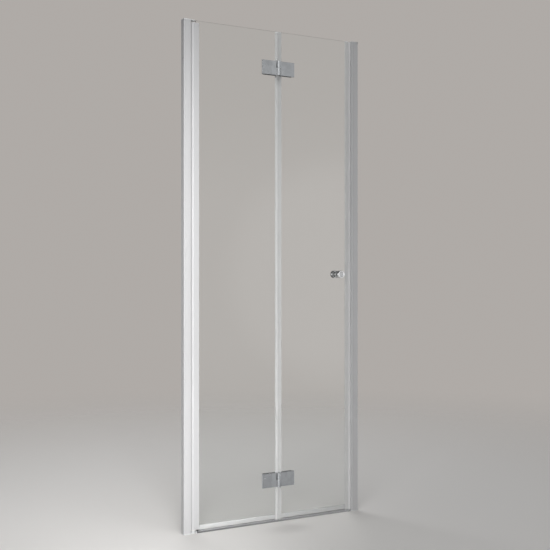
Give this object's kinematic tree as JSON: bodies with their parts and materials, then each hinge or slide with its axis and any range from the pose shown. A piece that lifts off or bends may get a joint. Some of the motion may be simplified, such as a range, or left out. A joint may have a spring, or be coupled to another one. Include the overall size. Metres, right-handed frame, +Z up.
{
  "type": "folding shower door",
  "caption": "Clear glass folding shower door for a niche: two leaves joined by glass hinges, pivot profile, wall profiles, magnetic closing and a round knob.",
  "frame": {"origin": "on the tray surface, in the middle of the opening and of the glass thickness", "axes": "+Z up, +X from the pivot side to the handle side, +Y into the shower, -Y to the room"},
  "size_m": [0.8, 0.068, 2],
  "materials": {
    "satin_aluminium": "bright satin anodised",
    "bracket_metal": "silver lacquered die casting",
    "chrome": "polished chrome plate",
    "clear_glass": "clear toughened, polished edges",
    "clear_seal": "clear flexible extrusion",
    "striker_plastic": "silver grey extrusion",
    "magnet": "flexible magnet strip",
    "grey_rubber": "soft matt grey",
    "stainless": "plain stainless",
    "nylon": "natural nylon",
    "cap_plastic": "silver grey moulding"
  },
  "bodies": {
    "frame": {"wall_channel_left": "satin_aluminium", "wall_channel_right": "satin_aluminium", "jamb_profile_left": "satin_aluminium", "jamb_profile_right": "satin_aluminium", "locking_screws_left": "stainless", "locking_screws_right": "stainless", "pivot_bracket_top": "bracket_metal", "pivot_bracket_bottom": "bracket_metal", "pivot_pin_top": "stainless", "pivot_pin_bottom": "stainless", "jamb_seal": "grey_rubber", "striker_strip": "striker_plastic", "striker_magnet": "magnet", "profile_cap_top": "cap_plastic", "profile_cap_bottom": "cap_plastic", "threshold_rail": "satin_aluminium", "threshold_end_left": "cap_plastic", "threshold_end_right": "cap_plastic"},
    "left_leaf": {"glass_left": "clear_glass", "pivot_profile": "satin_aluminium", "glazing_gasket": "grey_rubber", "pivot_bush_top": "nylon", "pivot_bush_bottom": "nylon", "drip_seal_left": "clear_seal", "fold_seal_left_lower": "clear_seal", "fold_seal_left_middle": "clear_seal", "fold_seal_left_upper": "clear_seal", "hinge_lower_plate_left": "chrome", "hinge_lower_back_left": "chrome", "hinge_lower_gaskets_left": "clear_seal", "hinge_lower_screws_left": "stainless", "hinge_lower_bush": "nylon", "hinge_upper_plate_left": "chrome", "hinge_upper_back_left": "chrome", "hinge_upper_gaskets_left": "clear_seal", "hinge_upper_screws_left": "stainless", "hinge_upper_bush": "nylon"},
    "right_leaf": {"glass_right": "clear_glass", "drip_seal_right": "clear_seal", "magnet_seal": "clear_seal", "door_magnet": "magnet", "knob_outer": "chrome", "knob_inner": "chrome", "knob_stud": "stainless", "knob_washers": "clear_seal", "fold_seal_right_lower": "clear_seal", "fold_seal_right_middle": "clear_seal", "fold_seal_right_upper": "clear_seal", "hinge_lower_plate_right": "chrome", "hinge_lower_back_right": "chrome", "hinge_lower_gaskets_right": "clear_seal", "hinge_lower_screws_right": "stainless", "hinge_lower_pin": "stainless", "hinge_upper_plate_right": "chrome", "hinge_upper_back_right": "chrome", "hinge_upper_gaskets_right": "clear_seal", "hinge_upper_screws_right": "stainless", "hinge_upper_pin": "stainless"}
  },
  "joints": [
    {"name": "leaf_pivot", "type": "hinge", "parent": "frame", "child": "left_leaf", "pos_m": [-0.356, 0, 1], "axis": [0, 0, 1], "range_deg": [0, 90]},
    {"name": "fold_hinge", "type": "hinge", "parent": "left_leaf", "child": "right_leaf", "pos_m": [0.018, -0.011, 1], "axis": [0, 0, 1], "range_deg": [-175, 0]}
  ]
}
